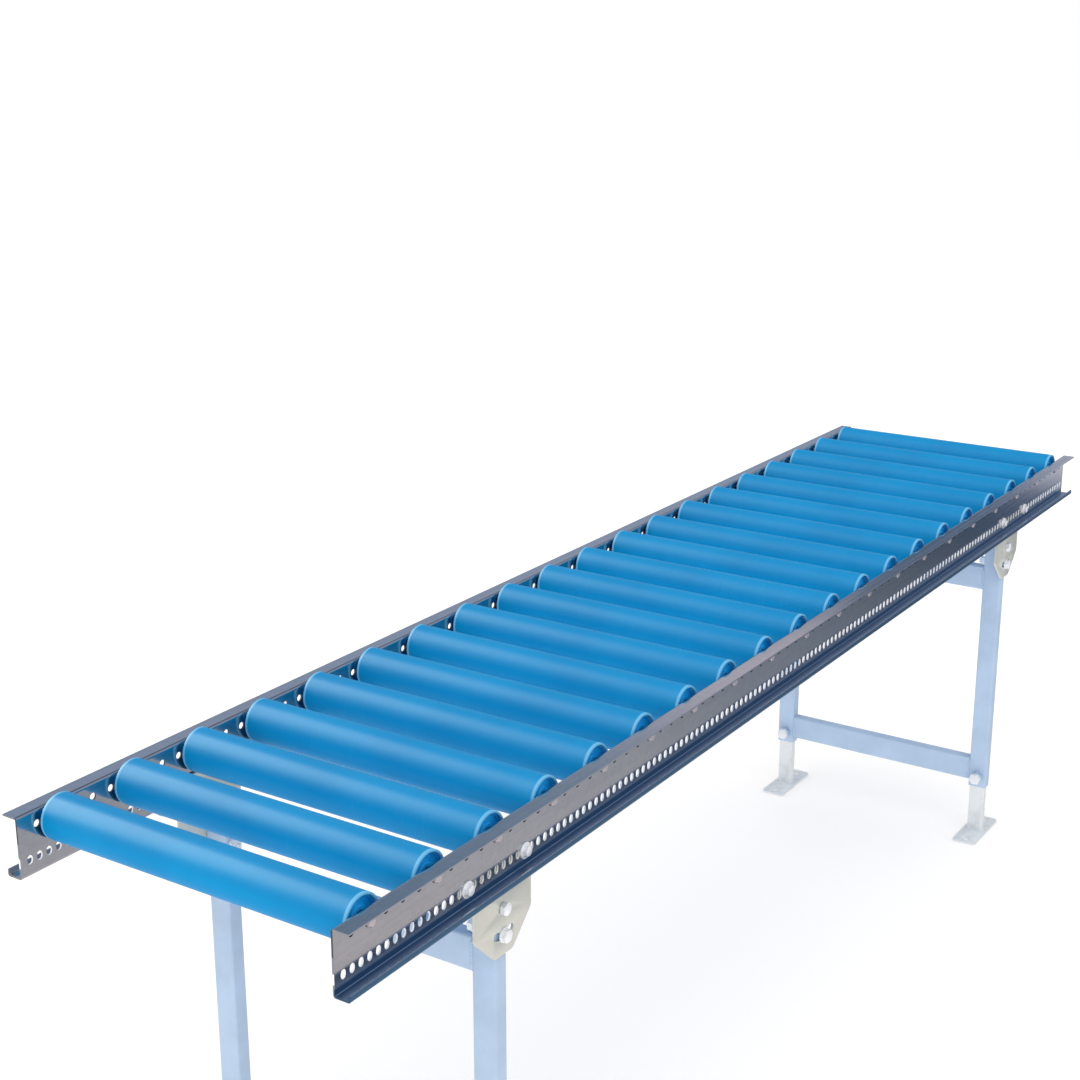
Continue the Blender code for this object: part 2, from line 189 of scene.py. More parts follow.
def evaluated_mesh(piece, name):
    bpy.context.view_layer.update()
    made = piece.evaluated_get(bpy.context.evaluated_depsgraph_get())
    mesh = bpy.data.meshes.new_from_object(made)
    mesh.name = name
    return mesh


def plate_mesh(name, outlines, thickness, bevel, place=None):
    """A flat plate from 2D outlines, the first outside and the rest holes, with eased edges."""
    curve = bpy.data.curves.new(name, "CURVE")
    curve.dimensions = "2D"
    curve.fill_mode = "BOTH"
    curve.extrude = thickness / 2 - bevel
    curve.bevel_depth = bevel
    curve.bevel_resolution = 1
    curve.offset = -bevel
    for outline in outlines:
        spline = curve.splines.new("POLY")
        spline.points.add(len(outline) - 1)
        for point, (u, v) in zip(spline.points, outline):
            point.co = (u, v, 0.0, 1.0)
        spline.use_cyclic_u = True
    drawn = bpy.data.objects.new(name, curve)
    bpy.context.scene.collection.objects.link(drawn)
    mesh = evaluated_mesh(drawn, name)
    bpy.data.objects.remove(drawn, do_unlink=True)
    bm = bmesh.new()
    bm.from_mesh(mesh)
    bpy.data.meshes.remove(mesh)
    if place:
        bmesh.ops.transform(bm, matrix=place, verts=bm.verts)
    return finish_mesh(bm, name)


def rings_surface(bm, rings, closed):
    """Joins rings of points, all of the same length, with quads; a closed loop joins last to first."""
    made = [[bm.verts.new(point) for point in ring] for ring in rings]
    pairs = list(zip(made, made[1:]))
    if closed:
        pairs.append((made[-1], made[0]))
    for low, high in pairs:
        count = len(low)
        for index in range(count):
            following = (index + 1) % count
            bm.faces.new((low[index], low[following], high[following], high[index]))
    return made


def cap_ends(bm, rings):
    bm.faces.new(rings[0])
    bm.faces.new(rings[-1])


def turned_mesh(name, profile, segments, closed=True):
    """A profile of (radius, y) points turned round the Y axis. A closed profile makes a ring; an
    open one has its two ends capped."""
    bm = bmesh.new()
    rings = []
    for radius, y in profile:
        ring = []
        for index in range(segments):
            angle = 2 * math.pi * index / segments
            ring.append((radius * math.cos(angle), y, radius * math.sin(angle)))
        rings.append(ring)
    made = rings_surface(bm, rings, closed)
    if not closed:
        cap_ends(bm, made)
    return finish_mesh(bm, name)


def hexagon_radius(angle, across):
    """How far a hexagon's side is from its middle in one direction."""
    return across / 2 / math.cos((angle + math.pi / 6) % (math.pi / 3) - math.pi / 6)


def add_hexagon(bm, across, low, high, bore=0.0, chamfer_low=False):
    """A hexagon head or nut between two heights on +Y, with its corners chamfered."""
    segments = 72
    flat = across / 2 * HEXAGON_FLAT
    slope = math.tan(HEXAGON_CHAMFER)
    angles = [2 * math.pi * index / segments for index in range(segments)]

    def ring(radius_of, height_of):
        points = []
        for angle in angles:
            radius = radius_of(angle)
            points.append((radius * math.cos(angle), height_of(radius), radius * math.sin(angle)))
        return points

    def outer(angle):
        return hexagon_radius(angle, across)

    top = ring(outer, lambda radius: high - max(0.0, radius - flat) * slope)
    if chamfer_low:
        bottom = ring(outer, lambda radius: low + max(0.0, radius - flat) * slope)
    else:
        bottom = ring(outer, lambda radius: low)
    inner_low = ring(lambda angle: flat, lambda radius: low)
    inner_high = ring(lambda angle: flat, lambda radius: high)
    if bore:
        ease = 0.0005
        rings = [inner_low, bottom, top, inner_high,
                 ring(lambda angle: bore + ease, lambda radius: high),
                 ring(lambda angle: bore, lambda radius: high - ease),
                 ring(lambda angle: bore, lambda radius: low + ease),
                 ring(lambda angle: bore + ease, lambda radius: low)]
        rings_surface(bm, rings, True)
    else:
        cap_ends(bm, rings_surface(bm, [inner_low, bottom, top, inner_high], False))


def add_threaded_rod(bm, radius, start, end, pitch, thread_from):
    """A rod along Y from start down to end, with a helical thread below thread_from."""
    segments = 20
    rings_per_pitch = 4
    depth = THREAD_DEPTH * pitch
    tip = 1.2 * depth
    tip_cut = 1.15
    rings = []

    def ring(y, cut):
        points = []
        for index in range(segments):
            share = index / segments
            angle = 2 * math.pi * share
            here = radius - depth * cut(share)
            points.append((here * math.cos(angle), y, here * math.sin(angle)))
        return points

    rings.append(ring(start, lambda share: 0.0))
    rings.append(ring(thread_from, lambda share: 0.0))
    steps = max(2, int(round((thread_from - end - tip) / pitch * rings_per_pitch)))
    for step in range(1, steps + 1):
        y = thread_from + (end + tip - thread_from) * step / steps

        def cut(share, y=y):
            phase = ((thread_from - y) / pitch + share) % 1.0
            return 1.0 - abs(2.0 * phase - 1.0)
        rings.append(ring(y, cut))
    rings.append(ring(end, lambda share: tip_cut))
    cap_ends(bm, rings_surface(bm, rings, False))


def place_piece(name, mesh, material, body, location=(0, 0, 0), turn=None, node=None):
    """Puts a piece in the scene on its CAD body; node names the CAD node that it stands for."""
    piece = bpy.data.objects.new(name, mesh)
    bpy.context.scene.collection.objects.link(piece)
    piece.location = location
    if turn:
        piece.rotation_euler = turn
    if not mesh.materials:
        mesh.materials.append(material)
    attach(piece, body)
    if node:
        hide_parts(node)


# ---------------------------------------------------------------- materials


class Nodes:
    """Short calls for making the nodes of one tree."""

    def __init__(self, tree):
        self.nodes, self.links = tree.nodes, tree.links

    def give(self, socket, value):
        if isinstance(value, bpy.types.NodeSocket):
            self.links.new(value, socket)
        else:
            socket.default_value = value

    def make(self, kind, **inputs):
        """A new node with its inputs filled; an underscore stands for a space in an input's name."""
        node = self.nodes.new(f"ShaderNode{kind}")
        for name, value in inputs.items():
            self.give(node.inputs[name.replace("_", " ")], value)
        return node

    def split(self, vector):
        return self.make("SeparateXYZ", Vector=vector).outputs

    def math(self, operation, first, second=0.0, clamp=False):
        node = self.make("Math")
        node.operation = operation
        node.use_clamp = clamp
        self.give(node.inputs[0], first)
        self.give(node.inputs[1], second)
        return node.outputs["Value"]

    def span(self, value, low, high, to_low=0.0, to_high=1.0, shape="SMOOTHSTEP"):
        """Maps low..high of a value to to_low..to_high, held at the ends."""
        node = self.make("MapRange", Value=value, From_Min=low, From_Max=high, To_Min=to_low,
                         To_Max=to_high)
        node.interpolation_type = shape
        return node.outputs["Result"]

    def mix(self, factor, first, second):
        node = self.make("Mix", Factor=factor)
        node.data_type = "RGBA"
        for name, value in (("A", first), ("B", second)):
            socket = next(s for s in node.inputs if s.name == name and s.type == "RGBA")
            self.give(socket, value if isinstance(value, bpy.types.NodeSocket) else (*value, 1.0))
        return next(s for s in node.outputs if s.type == "RGBA")


class Surface(Nodes):
    """A node material with a Principled shader, and the textures that feed it."""

    def __init__(self, name, metallic=0.0, roughness=0.4, **sockets):
        self.material = bpy.data.materials.new(name)
        self.material.use_nodes = True
        super().__init__(self.material.node_tree)
        self.shader = self.nodes["Principled BSDF"]
        self.shader.inputs["Metallic"].default_value = metallic
        self.shader.inputs["Roughness"].default_value = roughness
        for socket, value in sockets.items():
            self.shader.inputs[socket.replace("_", " ")].default_value = value
        self.coords = self.make("TexCoord").outputs["Object"]

    def noise(self, scale, detail, roughness=0.5, stretch=(1, 1, 1), distortion=0.0):
        place = self.make("Mapping", Vector=self.coords, Scale=stretch).outputs["Vector"]
        node = self.make("TexNoise", Vector=place, Scale=scale, Detail=detail, Roughness=roughness,
                         Distortion=distortion)
        return node.outputs["Fac"]

    def edges(self, radius):
        """1 on edges and 0 on flats, from how far a rounded normal leans off the true one."""
        flat, edge = 0.995, 0.90
        bevel = self.make("Bevel", Radius=radius)
        bevel.samples = 4
        dot = self.make("VectorMath")
        dot.operation = "DOT_PRODUCT"
        self.give(dot.inputs[0], bevel.outputs["Normal"])
        self.give(dot.inputs[1], self.make("NewGeometry").outputs["Normal"])
        return self.span(dot.outputs["Value"], flat, edge)

    def colour(self, value):
        self.give(self.shader.inputs["Base Color"], value)

    def roughness(self, value):
        self.give(self.shader.inputs["Roughness"], value)

    def bump(self, height, distance, strength, after=None):
        node = self.make("Bump", Height=height, Distance=distance, Strength=strength)
        if after:
            self.links.new(after, node.inputs["Normal"])
        self.links.new(node.outputs["Normal"], self.shader.inputs["Normal"])
        return node.outputs["Normal"]


# Tones of the rails' strip, and the colours that paint light and shade on its channel, lips and cut
# walls.
STRIP_DARK = (0.53, 0.53, 0.54)
STRIP_LIGHT = (0.59, 0.585, 0.59)
STRIP_CLOUD = (0.44, 0.45, 0.48)
STRIP_SPANGLE = (0.72, 0.72, 0.74)
# Painted shade for the near rail's lower channel: a dark blue on its side faces, lighter on its upward
# faces.
CHANNEL_PAINTED_SHADE_SIDE = (0.085, 0.195, 0.320)
CHANNEL_PAINTED_SHADE_TOP = (0.400, 0.460, 0.560)
# Painted light: near white on the inward faces of the lips, so the slots in front of them look bright.
LIP_INSIDE_PAINTED_LIGHT = (0.96, 0.96, 0.97)
# Painted shade: dark walls inside the round holes.
HOLE_WALL_PAINTED_SHADE = (0.20, 0.19, 0.19)
# Painted light: near-white walls inside the slots.
SLOT_WALL_PAINTED_LIGHT = (0.94, 0.94, 0.96)
# How high the channel's painted shade reaches.
CHANNEL_TOP = RAIL_BOTTOM + 0.0100


def rail_places(s):
    """Masks of the rail's places: the near rail's lower channel, where shade is painted; the inward
    faces of the lips, painted light; the sheared walls of every cut in the web; and those walls in
    holes, painted shade, and in slots, painted light."""
    place = s.split(s.coords)
    facing = s.split(s.make("NewGeometry").outputs["True Normal"])
    across = s.math("ABSOLUTE", place["Y"])
    # Painted shade on the right rail's lower channel only: its outer faces below CHANNEL_TOP.
    outside = s.span(place["Y"], -RAIL_INNER_Y - 0.0008, -RAIL_INNER_Y - 0.0016)
    low = s.span(place["Z"], CHANNEL_TOP, CHANNEL_TOP - 0.0030)
    channel = s.math("MULTIPLY", outside, low)
    channel = s.math("MULTIPLY", channel, s.span(facing["Y"], 0.6, 0.4))
    # Painted light on the inward faces of the lips.
    inward = s.span(s.math("MULTIPLY", place["Y"], facing["Y"]), -0.10, -0.15)
    lip_face = RAIL_INNER_Y + RAIL_WIDTH - RAIL_SHEET
    lip_light = s.math("MULTIPLY", inward, s.span(across, lip_face - 0.0008, lip_face - 0.0002))
    sideways = s.span(s.math("ABSOLUTE", facing["Y"]), 0.6, 0.4)
    web_face = RAIL_INNER_Y + RAIL_SHEET
    sheared = s.math("MULTIPLY", sideways, s.span(across, web_face + 0.0002, web_face + 0.0001))
    # Painted shade on the walls of the round holes, above hole_foot.
    hole_foot = AXLE_Z - 0.0140
    hole_wall_shade = s.math("MULTIPLY", sheared, s.span(place["Z"], hole_foot, hole_foot + 0.0010))
    # Painted light on the walls of the slots.
    off_slots = s.math("ABSOLUTE", s.math("SUBTRACT", place["Z"], SLOT_Z))
    slot_end = SLOT_HEIGHT / 2
    slot_wall_light = s.math("MULTIPLY", sheared, s.span(off_slots, slot_end + 0.0005, slot_end + 0.0003))
    # Upward faces take the lighter tone of the channel's painted shade.
    top_faces = s.span(facing["Z"], 0.4, 0.6)
    return channel, top_faces, lip_light, sheared, hole_wall_shade, slot_wall_light


def rail_zinc():
    """Galvanised strip: rolling streaks along the rail, faint spangle, painted shade in the near
    rail's lower channel, painted light on the lips' inward faces and in the slots, painted shade in
    the round holes.
    """
    s = Surface("rail_zinc", metallic=1.0)
    streaks = s.noise(1.0, 4.0, 0.6, (2.5, 420, 420))
    broad = s.noise(3.0, 3.0, 0.55, (1, 4, 4))
    spangle = s.split(s.make("TexVoronoi", Vector=s.coords, Scale=130).outputs["Color"])["X"]
    channel, top_faces, lip_light, sheared, hole_wall_shade, slot_wall_light = rail_places(s)
    tone = s.mix(s.span(streaks, 0.3, 0.7), STRIP_DARK, STRIP_LIGHT)
    tone = s.mix(s.span(broad, 0.35, 0.75, 0.0, 0.35), tone, STRIP_CLOUD)
    tone = s.mix(s.span(spangle, 0.0, 1.0, 0.0, 0.16), tone, STRIP_SPANGLE)
    # Painted shade: dark blue in the near rail's lower channel, lighter on its upward faces.
    tone = s.mix(channel, tone, s.mix(top_faces, CHANNEL_PAINTED_SHADE_SIDE, CHANNEL_PAINTED_SHADE_TOP))
    # Painted light: near white on the lips' inward faces.
    tone = s.mix(lip_light, tone, LIP_INSIDE_PAINTED_LIGHT)
    # Painted shade: dark walls in the round holes.
    tone = s.mix(hole_wall_shade, tone, HOLE_WALL_PAINTED_SHADE)
    # Painted light: near-white, nearly non-metallic walls in the slots.
    s.colour(s.mix(slot_wall_light, tone, SLOT_WALL_PAINTED_LIGHT))
    s.give(s.shader.inputs["Metallic"], s.span(slot_wall_light, 0.0, 1.0, 1.0, 0.1))
    rough = s.span(streaks, 0.25, 0.75, 0.07, 0.13)
    rough = s.math("ADD", rough, s.math("MULTIPLY", channel, 0.20))
    s.roughness(s.math("ADD", rough, s.math("MULTIPLY", sheared, 0.35)))
    first = s.bump(streaks, 0.00004, 0.35)
    s.bump(broad, 0.0004, 0.30, first)
    return s.material


def roller_blue():
    """Extruded PVC tube: faint draw lines along it, scuffs around it, and a painted highlight on its
    chamfered ends.
    """
    s = Surface("roller_blue", roughness=0.42, Specular_IOR_Level=0.12)
    lines = s.noise(1.0, 3.0, 0.6, (420, 3, 420))
    scuffs = s.noise(1.0, 5.0, 0.65, (9, 330, 9), 0.2)
    patches = s.noise(7.0, 3.0, 0.6)
    tone = s.mix(s.span(patches, 0.3, 0.7), (0.000, 0.236, 0.530), (0.000, 0.262, 0.574))
    worn = s.math("MULTIPLY", s.span(scuffs, 0.56, 0.80), s.span(patches, 0.42, 0.66), True)
    tone = s.mix(s.math("MULTIPLY", worn, 0.35), tone, (0.08, 0.34, 0.60))
    # Painted highlight: a paler blue on the chamfered ends of the tube.
    off_middle = s.math("ABSOLUTE", s.split(s.coords)["Y"])
    cut = s.span(off_middle, ROLLER_LENGTH / 2 - 0.0040, ROLLER_LENGTH / 2 - 0.0026)
    s.colour(s.mix(cut, tone, (0.14, 0.46, 0.76)))
    matt = s.span(scuffs, 0.3, 0.8, 0.32, 0.42)
    s.roughness(s.math("ADD", matt, s.span(lines, 0.3, 0.7, 0.0, 0.05)))
    first = s.bump(lines, 0.00004, 0.4)
    s.bump(scuffs, 0.00005, 0.5, first)
    return s.material


def cap_blue():
    """Moulded end cap: a brighter blue than the tube, painted light that lifts the shade of its
    recess, with fine mould texture.
    """
    s = Surface("cap_blue", roughness=0.45, Specular_IOR_Level=0.20)
    grain = s.noise(1400.0, 2.0)
    patches = s.noise(60.0, 3.0)
    # Painted light: a brighter blue than the tube's, lifting the shade of the recessed end.
    s.colour(s.mix(s.span(patches, 0.3, 0.7), (0.000, 0.330, 0.820), (0.010, 0.400, 0.900)))
    s.roughness(s.span(patches, 0.3, 0.7, 0.38, 0.52))
    s.bump(grain, 0.00004, 0.5)
    return s.material


def bright_steel(name, colour, low, high, grain, metallic=1.0):
    """Drawn or plated steel with fine streaks and small stains, its roughness from low to high;
    dull zinc is less metallic."""
    s = Surface(name, metallic=metallic)
    fine = s.noise(900.0, 3.0, 0.6, grain)
    stain = s.noise(70.0, 4.0, 0.6)
    dark = tuple(0.72 * channel for channel in colour)
    light = tuple(min(1.0, 1.12 * channel) for channel in colour)
    tone = s.mix(s.span(stain, 0.45, 0.75, 0.0, 0.45), colour, dark)
    s.colour(s.mix(s.span(fine, 0.3, 0.7, 0.0, 0.25), tone, light))
    s.roughness(s.span(fine, 0.2, 0.8, low, high))
    s.bump(fine, 0.00003, 0.5)
    return s.material


def powder_coat(name, colour, worn, roughness=0.46, metallic=0.0):
    """Powder coat: orange peel, a little mottling, rubbed through on sharp edges."""
    s = Surface(name, metallic, roughness, Coat_Weight=0.15, Coat_Roughness=0.25)
    peel = s.noise(620.0, 2.0, 0.5)
    mottle = s.noise(18.0, 4.0, 0.6)
    shade = tuple(0.90 * channel for channel in colour)
    tone = s.mix(s.span(mottle, 0.3, 0.7), shade, colour)
    rubbed = s.math("MULTIPLY", s.edges(0.0010), s.span(s.noise(90.0, 4.0, 0.7), 0.45, 0.70))
    s.colour(s.mix(s.math("MULTIPLY", rubbed, 0.6), tone, worn))
    s.roughness(s.span(mottle, 0.25, 0.75, roughness - 0.06, roughness + 0.08))
    s.bump(peel, 0.00008, 0.45)
    return s.material


def moulded_plastic(name, dark, light):
    """A small plastic part: fine mould grain and a little cloudiness."""
    s = Surface(name, roughness=0.55)
    grain = s.noise(1100.0, 2.0)
    s.colour(s.mix(s.noise(50.0, 3.0), dark, light))
    s.roughness(s.span(grain, 0.3, 0.7, 0.48, 0.62))
    s.bump(grain, 0.00005, 0.5)
    return s.material


def floor_paint():
    """A near-white studio floor, with a faint glow that thins the shade under the stands."""
    s = Surface("floor_paint", roughness=0.7)
    cloud = s.noise(1.6, 4.0, 0.55)
    s.colour(s.mix(cloud, (0.970, 0.970, 0.972), (0.985, 0.985, 0.987)))
    s.shader.inputs["Emission Color"].default_value = (1.0, 0.72, 0.42, 1.0)
    s.shader.inputs["Emission Strength"].default_value = 0.10
    s.bump(s.noise(240.0, 3.0), 0.0002, 0.15)
    return s.material


RAIL_ZINC = rail_zinc()
ROLLER_BLUE = roller_blue()
CAP_BLUE = cap_blue()
AXLE_STEEL = bright_steel("axle_steel", (0.88, 0.79, 0.79), 0.22, 0.38, (1, 0.02, 1))
BOLT_ZINC = bright_steel("bolt_zinc", (0.95, 0.97, 1.00), 0.22, 0.36, (1, 1, 1), 0.30)
CLAMP_ZINC = bright_steel("clamp_zinc", (0.84, 0.86, 0.88), 0.38, 0.55, (1, 1, 1), 0.30)
LEG_ZINC = bright_steel("leg_zinc", (0.84, 0.86, 0.86), 0.38, 0.55, (1, 1, 0.05), 0.35)
PLATE_CREAM = powder_coat("plate_cream", (0.84, 0.84, 0.745), (0.62, 0.60, 0.55), 0.34, 0.65)
STAND_BLUE = powder_coat("stand_blue", (0.428, 0.550, 0.715), (0.66, 0.72, 0.78))
PLUG_BLACK = moulded_plastic("plug_black", (0.012, 0.013, 0.015), (0.030, 0.031, 0.034))
SEAL_BLUE = moulded_plastic("seal_blue", (0.000, 0.060, 0.210), (0.002, 0.085, 0.280))

# ---------------------------------------------------------------- rails


def rail_section():
    """The rail's section: u grows outward from its inner face, v upward from its underside. A
    support point on each flat, close to each bend, keeps the flats shaded flat."""
    easy = 0.0004
    steps = 6
    top, sheet, width = RAIL_HEIGHT, RAIL_SHEET, RAIL_WIDTH
    inner_bend = RAIL_BEND - sheet
    inner_lip = LIP_BEND - sheet
    top_bend = (RAIL_BEND, top - RAIL_BEND)
    low_bend = (RAIL_BEND, RAIL_BEND)
    lip_bend = (width - LIP_BEND, LIP_BEND)
    corner = 0.0003
    section = [(width, top - corner), (width - corner, top), (RAIL_BEND + easy, top)]
    section += arc(top_bend, RAIL_BEND, 90, 180, steps)
    section += [(0.0, top - RAIL_BEND - easy), (0.0, RAIL_BEND + easy)]
    section += arc(low_bend, RAIL_BEND, 180, 270, steps)
    section += [(RAIL_BEND + easy, 0.0), (width - LIP_BEND - easy, 0.0)]
    section += arc(lip_bend, LIP_BEND, 270, 360, steps)
    section += [(width, LIP_BEND + easy), (width, RAIL_LIP - corner), (width - corner, RAIL_LIP)]
    section += [(width - sheet + corner, RAIL_LIP), (width - sheet, RAIL_LIP - corner)]
    section += [(width - sheet, LIP_BEND + easy)]
    section += arc(lip_bend, inner_lip, 360, 270, steps)
    section += [(width - LIP_BEND - easy, sheet), (RAIL_BEND + easy, sheet)]
    section += arc(low_bend, inner_bend, 270, 180, steps)
    section += [(sheet, RAIL_BEND + easy), (sheet, top - RAIL_BEND - easy)]
    section += arc(top_bend, inner_bend, 180, 90, steps)
    section += [(RAIL_BEND + easy, top - sheet), (width - corner, top - sheet)]
    section += [(width, top - sheet + corner)]
    return section


def add_prism(bm, outline, near, far):
    """A closed prism with its outline in the XZ plane, from y near to y far."""
    low = [bm.verts.new((x, near, z)) for x, z in outline]
    high = [bm.verts.new((x, far, z)) for x, z in outline]
    count = len(outline)
    bm.faces.new(low)
    bm.faces.new(high[::-1])
    for index in range(count):
        following = (index + 1) % count
        bm.faces.new((low[following], low[index], high[index], high[following]))


def slot_outline(x, z, width, height):
    steps = 4
    radius = width / 2
    reach = height / 2 - radius
    return arc((x, z + reach), radius, 0, 180, steps) + arc((x, z - reach), radius, 180, 360, steps)


def perforations():
    """Every hole of a rail's web: round holes that carry the axles, and the row of slots below."""
    outlines = []
    holes = int(BED_LENGTH / 2 / HOLE_PITCH - 0.5)
    for index in range(-holes, holes + 1):
        radius = AXLE_HOLE_RADIUS if index % 4 == 2 else HOLE_RADIUS
        outlines.append(circle((index * HOLE_PITCH, AXLE_Z), radius, 20))
    slots = int(BED_LENGTH / 2 / SLOT_PITCH - 0.5)
    for index in range(-slots, slots + 1):
        outlines.append(slot_outline(index * SLOT_PITCH, SLOT_Z, SLOT_WIDTH, SLOT_HEIGHT))
    return outlines


def rail_mesh(name, sign):
    section = [(sign * (RAIL_INNER_Y + u), RAIL_BOTTOM + v) for u, v in rail_section()]
    bm = bmesh.new()
    rings = [[(x, y, z) for y, z in section] for x in (-BED_LENGTH / 2, BED_LENGTH / 2)]
    cap_ends(bm, rings_surface(bm, rings, False))
    blank = bpy.data.objects.new(name, finish_mesh(bm, name))
    bm = bmesh.new()
    for outline in perforations():
        add_prism(bm, outline, sign * (RAIL_INNER_Y - 0.002), sign * (RAIL_INNER_Y + 0.0045))
    cutter = bpy.data.objects.new(f"{name}_cutter", finish_mesh(bm, f"{name}_cutter"))
    for piece in (blank, cutter):
        bpy.context.scene.collection.objects.link(piece)
    cut = blank.modifiers.new("perforate", "BOOLEAN")
    cut.operation = "DIFFERENCE"
    cut.solver = "EXACT"
    cut.object = cutter
    mesh = evaluated_mesh(blank, name)
    for piece in (blank, cutter):
        bpy.data.objects.remove(piece, do_unlink=True)
    bm = bmesh.new()
    bm.from_mesh(mesh)
    return finish_mesh(bm, name)


def make_rails():
    for side, sign in SIDES.items():
        node = f"side_rail_{side}"
        place_piece(f"rail_{side}", rail_mesh(f"rail_{side}", sign), RAIL_ZINC, "bed",
                    node=node)


# ---------------------------------------------------------------- rollers and axles


def mirrored(profile):
    """The same profile at the other end: y reversed, order reversed."""
    return [(radius, -y) for radius, y in reversed(profile)]


def tube_mesh():
    half = ROLLER_LENGTH / 2
    inside = ROLLER_RADIUS - TUBE_WALL
    ease = 0.0007
    straight = half - ease - 0.0012
    outer = [(inside, half - ease), (inside + ease, half), (ROLLER_RADIUS - ease, half)]
    outer += [(ROLLER_RADIUS - 0.3 * ease, half - 0.3 * ease), (ROLLER_RADIUS, half - ease)]
    outer += [(ROLLER_RADIUS, straight)]
    profile = [(inside, straight)] + outer + mirrored(outer) + [(inside, -straight)]
    return turned_mesh("roller_tube", profile, 96)


def cap_profile():
    """One end cap at +Y: a rim against the tube, a dished face and a low hub round the axle."""
    face = ROLLER_LENGTH / 2 - CAP_RECESS
    rim = ROLLER_RADIUS - TUBE_WALL - 0.00005
    hub = HUB_RADIUS
    bore = SEAL_RADIUS
    skirt = rim - 0.0030
    back = face - 0.0165
    return [
        (rim, back), (rim, face - 0.0006), (rim - 0.0005, face),
        (rim - 0.0014, face), (rim - 0.0019, face - 0.0005), (rim - 0.0024, face - 0.0022),
        (skirt, face - 0.0027), (hub + 0.0012, face - 0.0022), (hub + 0.0005, face - 0.0018),
        (hub, face - 0.0004), (hub - 0.0004, face), (bore + 0.0004, face),
        (bore, face - 0.0004), (bore, face - 0.0100), (skirt, face - 0.0115), (skirt, back),
    ]


def both_ends_mesh(name, profile, segments):
    """The same ring at both ends of a roller, as one mesh."""
    bm = bmesh.new()
    for points in (profile, mirrored(profile)):
        part = turned_mesh(name, points, segments)
        bm.from_mesh(part)
        bpy.data.meshes.remove(part)
    return finish_mesh(bm, name)


def seal_profile():
    """The dark blue seal ring between cap and axle at +Y."""
    front = ROLLER_LENGTH / 2 - CAP_RECESS - 0.0003
    ease = 0.0005
    back = front - 0.0082
    outside = SEAL_RADIUS - 0.00005
    inside = AXLE_RADIUS + 0.0001
    return [(outside, back), (outside, front - ease), (outside - ease, front),
            (inside + ease, front), (inside, front - ease), (inside, back)]


def axle_mesh():
    half = AXLE_LENGTH / 2
    ease = 0.0008
    profile = [(AXLE_RADIUS - ease, -half), (AXLE_RADIUS, -half + ease),
               (AXLE_RADIUS, half - ease), (AXLE_RADIUS - ease, half)]
    return turned_mesh("axle_rod", profile, 32, closed=False)


def make_rollers():
    tube = tube_mesh()
    caps = both_ends_mesh("end_caps", cap_profile(), 64)
    seals = both_ends_mesh("axle_seals", seal_profile(), 48)
    rod = axle_mesh()
    for node in ROLLERS:
        number = node.split("_")[1]
        body = f"{node}_body"
        place = middle(node)
        # Quarter turns and end-for-end swaps keep neighbours from showing the same scuffs.
        quarters, swaps = int(number) % 4, int(number) // 4 % 2
        turn = (0.0, math.radians(90 * quarters), math.radians(180 * swaps))
        place_piece(f"tube_{number}", tube, ROLLER_BLUE, body, place, turn, node)
        place_piece(f"end_caps_{number}", caps, CAP_BLUE, body, place, turn)
        place_piece(f"axle_seals_{number}", seals, SEAL_BLUE, body, place, turn)
        place_piece(f"axle_rod_{number}", rod, AXLE_STEEL, "bed", middle(f"axle_{number}"), turn,
                    f"axle_{number}")


# ---------------------------------------------------------------- head plates


def plate_outline():
    """The head plate round its pivot; u grows towards the near end of the bed."""
    top = PLATE_TOP - PIVOT_Z
    ear = EAR_BOTTOM - PIVOT_Z
    bottom = PLATE_BOTTOM - PIVOT_Z
    corner = PLATE_CORNER
    half = PLATE_HALF
    toe = half - PLATE_CHAMFER
    shoulder = bottom + PLATE_CHAMFER
    turn = corner * math.tan(math.radians(22.5))
    tight = 0.003
    right = arc((half - corner, shoulder + turn), corner, 0, -45, 6)
    right_toe = arc((toe - turn, bottom + corner), corner, -45, -90, 6)
    left_toe = [(-u, v) for u, v in reversed(right_toe)]
    left = [(-u, v) for u, v in reversed(right)]
    outline = arc((EAR_REACH - tight, top - tight), tight, 90, 0, 5)
    outline += arc((EAR_REACH - corner, ear + corner), corner, 0, -90, 8)
    outline += arc((half + tight, ear - tight), tight, 90, 180, 5)
    outline += right + right_toe + left_toe + left
    outline += arc((-half + tight, top - tight), tight, 180, 90, 5)
    return outline


def lock_slot():
    swing = math.degrees(LOCK_SWING)
    end = (LOCK_RADIUS * math.sin(LOCK_SWING), -LOCK_RADIUS * math.cos(LOCK_SWING))
    outer = arc((0, 0), LOCK_RADIUS + M8_HOLE, -90 - swing, -90 + swing, 16)
    inner = arc((0, 0), LOCK_RADIUS - M8_HOLE, -90 + swing, -90 - swing, 16)
    right = arc(end, M8_HOLE, -90 + swing, 90 + swing, 12)[1:-1]
    left = arc((-end[0], end[1]), M8_HOLE, 90 - swing, 270 - swing, 12)[1:-1]
    return outer + right + inner + left


def make_head_plates():
    rail_hole = 0.0034
    outlines = [plate_outline(), circle((0, 0), M8_HOLE), lock_slot()]
    for offset in (OUTER_BOLT_X, INNER_BOLT_X):
        outlines.append(circle((offset, SLOT_Z - PIVOT_Z), rail_hole))
    upright = Matrix.Rotation(math.radians(90), 4, "X")
    mesh = plate_mesh("head_plate", outlines, PLATE_SHEET, 0.0004, upright)
    for end, end_sign in ENDS.items():
        for side, sign in SIDES.items():
            turn = (0.0, 0.0, 0.0 if end_sign > 0 else math.pi)
            place_piece(f"plate_{end}_{side}", mesh, PLATE_CREAM, "bed",
                        (end_sign * STAND_X, sign * PLATE_Y, PIVOT_Z), turn,
                        f"head_plate_{end}_{side}")


# ---------------------------------------------------------------- fasteners


